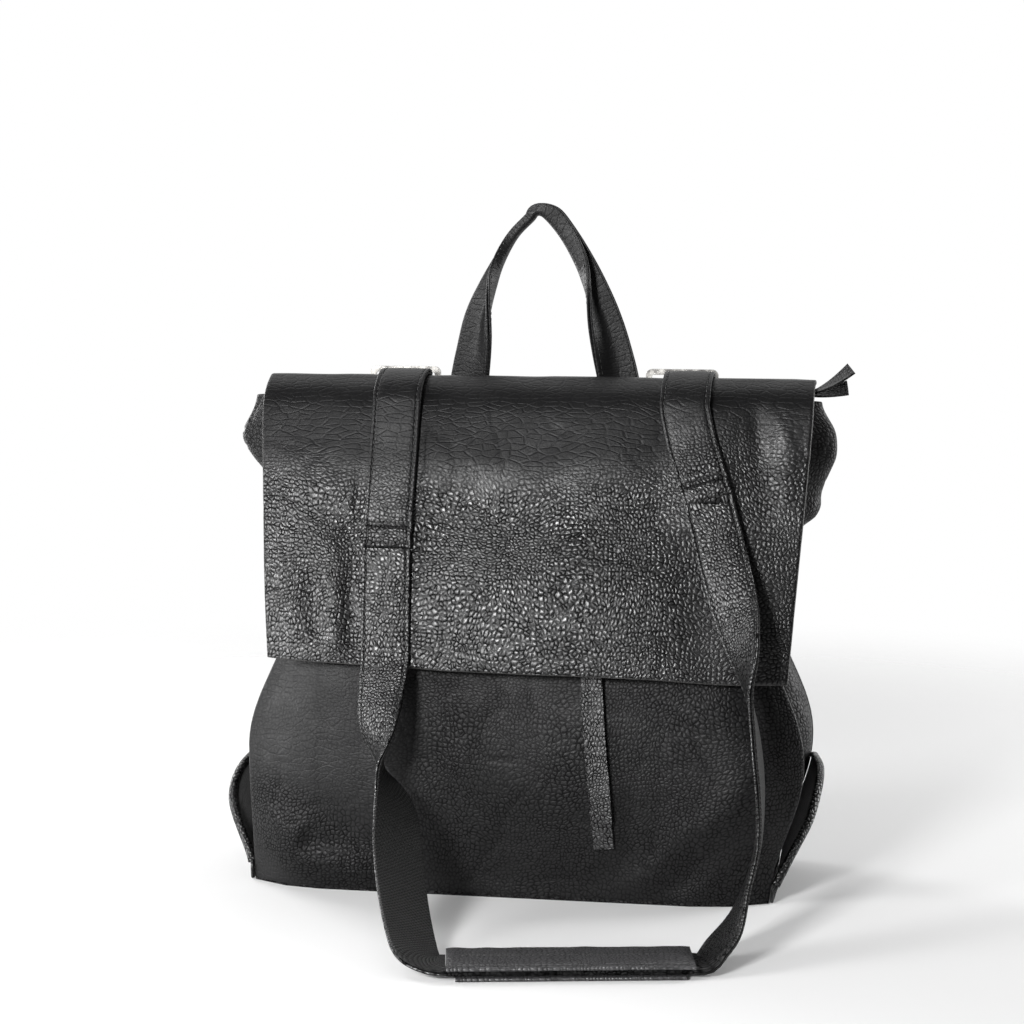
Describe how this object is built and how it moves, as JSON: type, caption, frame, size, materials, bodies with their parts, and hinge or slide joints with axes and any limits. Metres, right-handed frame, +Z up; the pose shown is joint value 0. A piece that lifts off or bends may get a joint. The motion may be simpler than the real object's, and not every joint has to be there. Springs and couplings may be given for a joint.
{
  "type": "leather backpack",
  "caption": "Convertible pebbled-leather backpack with a wide fold-over flap, top zip, top handle, side slip pockets and a long strap with a shoulder pad.",
  "frame": {"origin": "centre of the underside of the base, on the ground", "axes": "+Z up, -Y out of the front panel, +X to the right of the front panel"},
  "size_m": [0.3954, 0.3029, 0.4252],
  "materials": {
    "leather": "satin pebble grain",
    "inside_leather": "matt suede side",
    "webbing": "woven webbing",
    "lining_cloth": "plain lining cloth",
    "zip_tape": "woven zip tape",
    "metal": "nickel satin",
    "board": "matt board"
  },
  "bodies": {
    "bag": {"front_panel": "leather", "back_panel": "leather", "base_panel": "leather", "gusset_left": "leather", "gusset_right": "leather", "side_pocket_left": "leather", "side_pocket_right": "leather", "base_board": "board", "lining": "lining_cloth", "inner_slip_pocket": "lining_cloth", "front_pocket_bag": "lining_cloth", "top_zip_tape_front": "zip_tape", "top_zip_tape_back": "zip_tape", "top_zip_teeth_front": "metal", "top_zip_teeth_back": "metal", "top_zip_stops": "metal", "front_zip_tapes": "zip_tape", "front_zip_teeth": "metal", "front_zip_stops": "metal", "body_snap": "metal", "flap_back_strip": "leather", "handle_anchors": "leather", "strap_rings": "metal", "ring_tabs": "leather", "lower_rings": "metal", "lower_tabs": "leather", "slide_buckles": "metal", "strap_back_left": "leather", "strap_back_right": "leather", "webbing_back_left": "webbing", "webbing_back_right": "webbing"},
    "flap": {"flap_leather": "leather", "flap_backing": "inside_leather", "flap_snap": "metal", "strap_upper_left": "leather", "strap_upper_right": "leather", "webbing_upper_left": "webbing", "webbing_upper_right": "webbing"},
    "strap_loop": {"strap_lower_left": "leather", "strap_lower_right": "leather", "webbing_lower_left": "webbing", "webbing_lower_right": "webbing", "shoulder_pad": "leather", "pad_backing": "leather", "pad_core": "webbing"},
    "handle": {"handle_outer": "leather", "handle_inner": "inside_leather"},
    "top_slider": {"top_zip_slider": "metal"},
    "top_pull": {"top_pull_ring": "metal", "top_pull_leather": "leather"},
    "front_slider": {"front_zip_slider": "metal"},
    "front_pull": {"front_pull_ring": "metal", "front_pull_outer": "leather", "front_pull_inner": "leather"}
  },
  "joints": [
    {"name": "flap_hinge", "type": "hinge", "parent": "bag", "child": "flap", "pos_m": [0, 0.00774, 0.31667], "axis": [-1, 0, 0], "range_deg": [0, 146]},
    {"name": "strap_hinge", "type": "hinge", "parent": "flap", "child": "strap_loop", "pos_m": [-0.082, -0.05471, 0.2121], "axis": [-0.9874, -0.0434, -0.1519], "range_deg": [0, 140]},
    {"name": "handle_hinge", "type": "hinge", "parent": "bag", "child": "handle", "pos_m": [0, 0.03873, 0.242], "axis": [-1, 0, 0], "range_deg": [0, 140]},
    {"name": "top_zip_slide", "type": "slide", "parent": "bag", "child": "top_slider", "axis": [1, 0, 0], "range_m": [-0.314, 0]},
    {"name": "top_pull_swing", "type": "hinge", "parent": "top_slider", "child": "top_pull", "pos_m": [0.157, 0, 0.3], "axis": [0, 0, 1], "range_deg": [-8, 8]},
    {"name": "front_zip_slide", "type": "slide", "parent": "bag", "child": "front_slider", "axis": [1, 0, 0], "range_m": [-0.138, 0]},
    {"name": "front_pull_swing", "type": "hinge", "parent": "front_slider", "child": "front_pull", "pos_m": [0.042, -0.05199, 0.16817], "axis": [0, -1, 0], "range_deg": [-12, 12]}
  ]
}
